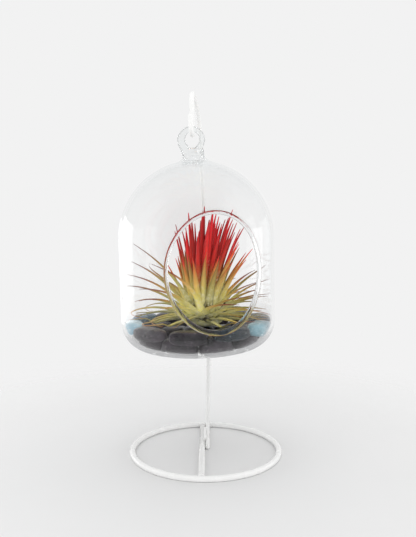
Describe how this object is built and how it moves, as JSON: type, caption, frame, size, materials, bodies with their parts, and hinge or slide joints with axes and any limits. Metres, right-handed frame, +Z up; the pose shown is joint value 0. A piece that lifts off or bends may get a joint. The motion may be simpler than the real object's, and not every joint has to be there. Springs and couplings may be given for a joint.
{
  "type": "hanging glass air plant holder",
  "caption": "Blown glass globe with an oval mouth, pebbles and an air plant, hung by its glass loop from the hook of a round-based white wire stand.",
  "frame": {"origin": "centre of the base ring on the surface that it stands on", "axes": "+X to the viewer's right, +Y away from the viewer towards the upright, +Z up"},
  "size_m": [0.1076, 0.11, 0.2409],
  "materials": {
    "white_paint": "gloss white paint",
    "clear_glass": "clear blown glass",
    "charcoal_stone": "polished river pebble",
    "blue_stone": "polished, pale blue",
    "teal_stone": "polished, teal",
    "pale_leaf_base": "matte plant",
    "green_leaf": "matte plant",
    "red_leaf": "matte plant"
  },
  "bodies": {
    "stand": {"base_ring": "white_paint", "cross_bar": "white_paint", "upright_crook": "white_paint", "front_weld": "white_paint", "back_weld": "white_paint", "end_weld": "white_paint", "foot_weld": "white_paint"},
    "globe": {"glass_globe": "clear_glass", "glass_loop": "clear_glass", "blue_pebble_1": "blue_stone", "blue_pebble_2": "blue_stone", "floor_pebble_1": "charcoal_stone", "floor_pebble_10": "charcoal_stone", "floor_pebble_2": "charcoal_stone", "floor_pebble_3": "charcoal_stone", "floor_pebble_4": "charcoal_stone", "floor_pebble_5": "charcoal_stone", "floor_pebble_6": "charcoal_stone", "floor_pebble_7": "charcoal_stone", "floor_pebble_8": "charcoal_stone", "floor_pebble_9": "charcoal_stone", "inner_pebble_1": "charcoal_stone", "inner_pebble_2": "charcoal_stone", "inner_pebble_3": "charcoal_stone", "inner_pebble_4": "charcoal_stone", "inner_pebble_5": "charcoal_stone", "middle_pebble": "charcoal_stone", "teal_pebble_1": "teal_stone", "teal_pebble_2": "teal_stone", "teal_pebble_3": "teal_stone", "top_pebble_1": "charcoal_stone", "top_pebble_2": "charcoal_stone", "top_pebble_3": "charcoal_stone", "top_pebble_4": "charcoal_stone", "top_pebble_5": "charcoal_stone"},
    "plant": {"plant_core": "pale_leaf_base", "skirt_leaves": "green_leaf", "outer_leaves": "green_leaf", "middle_leaves": "green_leaf", "inner_leaves": "red_leaf", "heart_leaves": "red_leaf"}
  },
  "joints": [
    {"name": "globe_swing", "type": "hinge", "parent": "stand", "child": "globe", "pos_m": [-0.00861, -0.008, 0.2115], "axis": [0, 1, 0], "range_deg": [-30, 30]},
    {"name": "plant_lift", "type": "slide", "parent": "globe", "child": "plant", "axis": [0, 0, 1], "range_m": [0, 0.008]}
  ]
}
